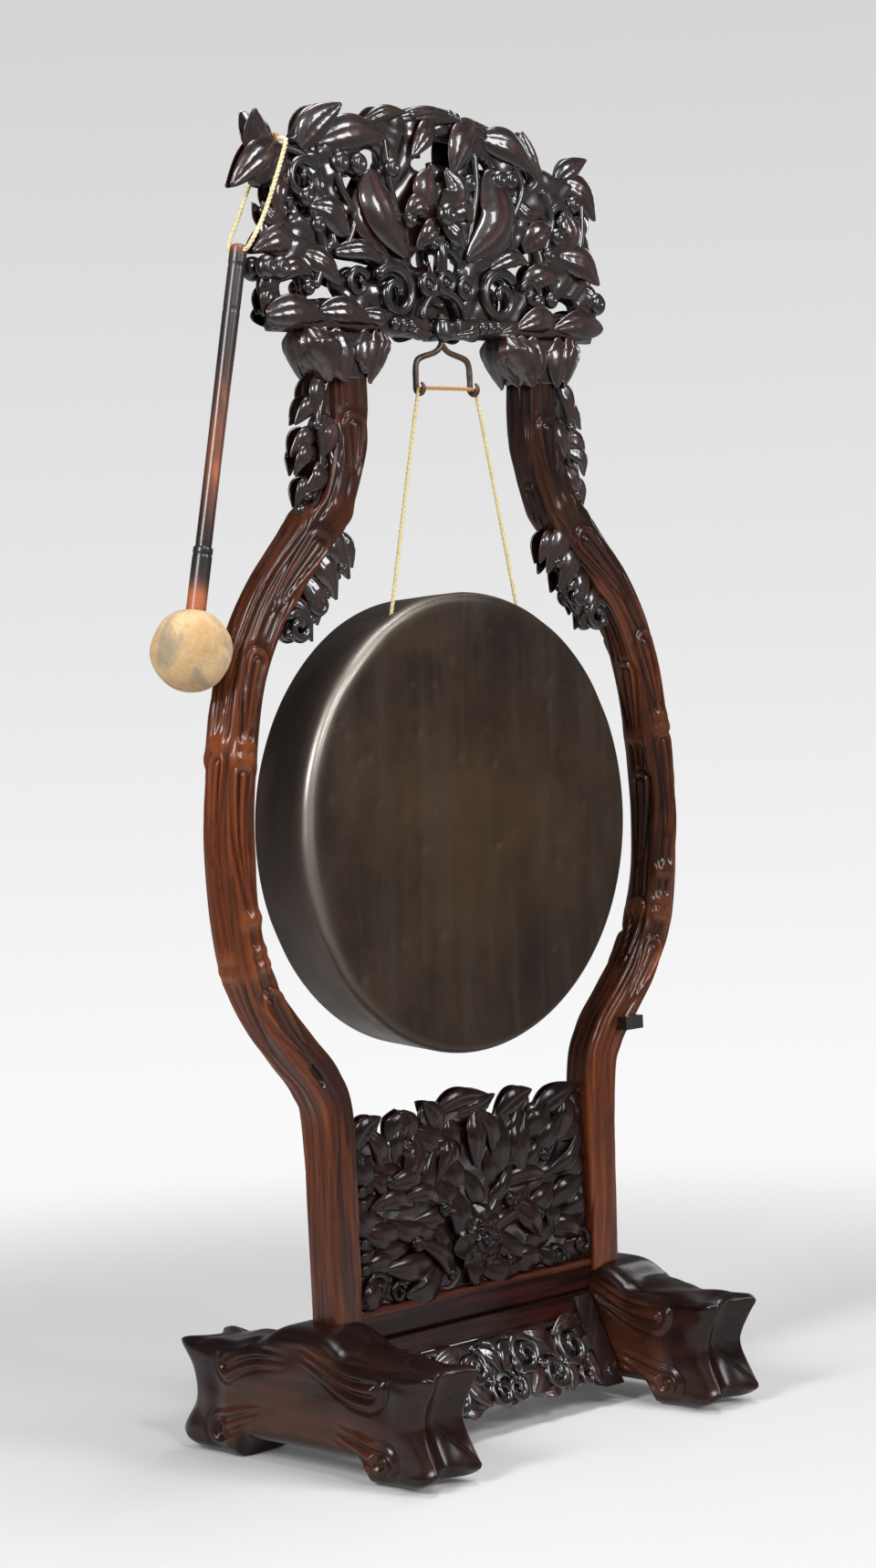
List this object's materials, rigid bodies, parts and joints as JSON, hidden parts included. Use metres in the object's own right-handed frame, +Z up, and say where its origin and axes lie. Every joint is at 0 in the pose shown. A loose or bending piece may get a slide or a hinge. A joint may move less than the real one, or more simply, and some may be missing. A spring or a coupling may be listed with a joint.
{
  "type": "tam tam gong on stand",
  "caption": "Hanging hammered gong on a tall carved hardwood floor stand, with an iron double-hook hanger, suspension cord and a leather-headed mallet.",
  "frame": {"origin": "on the floor, midway between the two feet and under the posts' middle plane", "axes": "+X from the mallet's post towards the other post, -Y out of the gong's struck face, +Z up"},
  "size_m": [0.9238, 0.466, 1.75],
  "materials": {
    "dark_wood": "polished dark hardwood",
    "red_wood": "polished red-brown hardwood with worn edges",
    "rail_wood": "polished red hardwood",
    "plain_wood": "bare wood",
    "hanger_iron": "dark forged iron",
    "gong_bronze": "brown hammered bronze",
    "gong_cord": "twisted cord",
    "loop_cord": "twisted cord",
    "knot_cord": "waxed cord",
    "handle_lacquer": "worn black-brown lacquer",
    "ball_leather": "scuffed tan leather"
  },
  "bodies": {
    "stand": {"left_foot": "dark_wood", "right_foot": "dark_wood", "left_post": "red_wood", "right_post": "red_wood", "rest_peg": "dark_wood", "right_capital": "dark_wood", "left_capital": "dark_wood", "right_bracket": "dark_wood", "left_bracket": "dark_wood", "right_spray": "dark_wood", "left_spray": "dark_wood", "right_foot_tenon": "plain_wood", "left_foot_tenon": "plain_wood", "right_crest_tenon": "plain_wood", "left_crest_tenon": "plain_wood", "right_rail_tenon": "plain_wood", "left_rail_tenon": "plain_wood", "base_rail": "rail_wood", "lower_panel": "dark_wood", "apron": "dark_wood", "right_stile": "dark_wood", "left_stile": "dark_wood", "right_button": "dark_wood", "left_button": "dark_wood", "crest": "dark_wood"},
    "hanger": {"hanger": "hanger_iron", "hanger_washer": "hanger_iron"},
    "gong": {"gong": "gong_bronze", "gong_cord": "gong_cord", "left_gong_knot": "gong_cord", "right_gong_knot": "gong_cord"},
    "mallet_cord": {"mallet_loop": "loop_cord", "loop_knot": "knot_cord"},
    "mallet": {"mallet_handle": "handle_lacquer", "mallet_sleeve": "handle_lacquer", "mallet_core": "plain_wood", "mallet_cover": "ball_leather"}
  },
  "joints": [
    {"name": "hanger_turn", "type": "hinge", "parent": "stand", "child": "hanger", "pos_m": [0, -0.01, 1.45], "axis": [0, 0, 1], "continuous": true},
    {"name": "gong_swing", "type": "hinge", "parent": "hanger", "child": "gong", "pos_m": [0, -0.01705, 1.38], "axis": [1, 0, 0], "range_deg": [-10, 10]},
    {"name": "loop_lift", "type": "slide", "parent": "stand", "child": "mallet_cord", "axis": [0, 0, 1], "range_m": [0, 0.045]},
    {"name": "mallet_swing", "type": "hinge", "parent": "mallet_cord", "child": "mallet", "pos_m": [-0.3477, 0.00021, 1.54516], "axis": [0, 1, 0], "range_deg": [0, 40]}
  ]
}
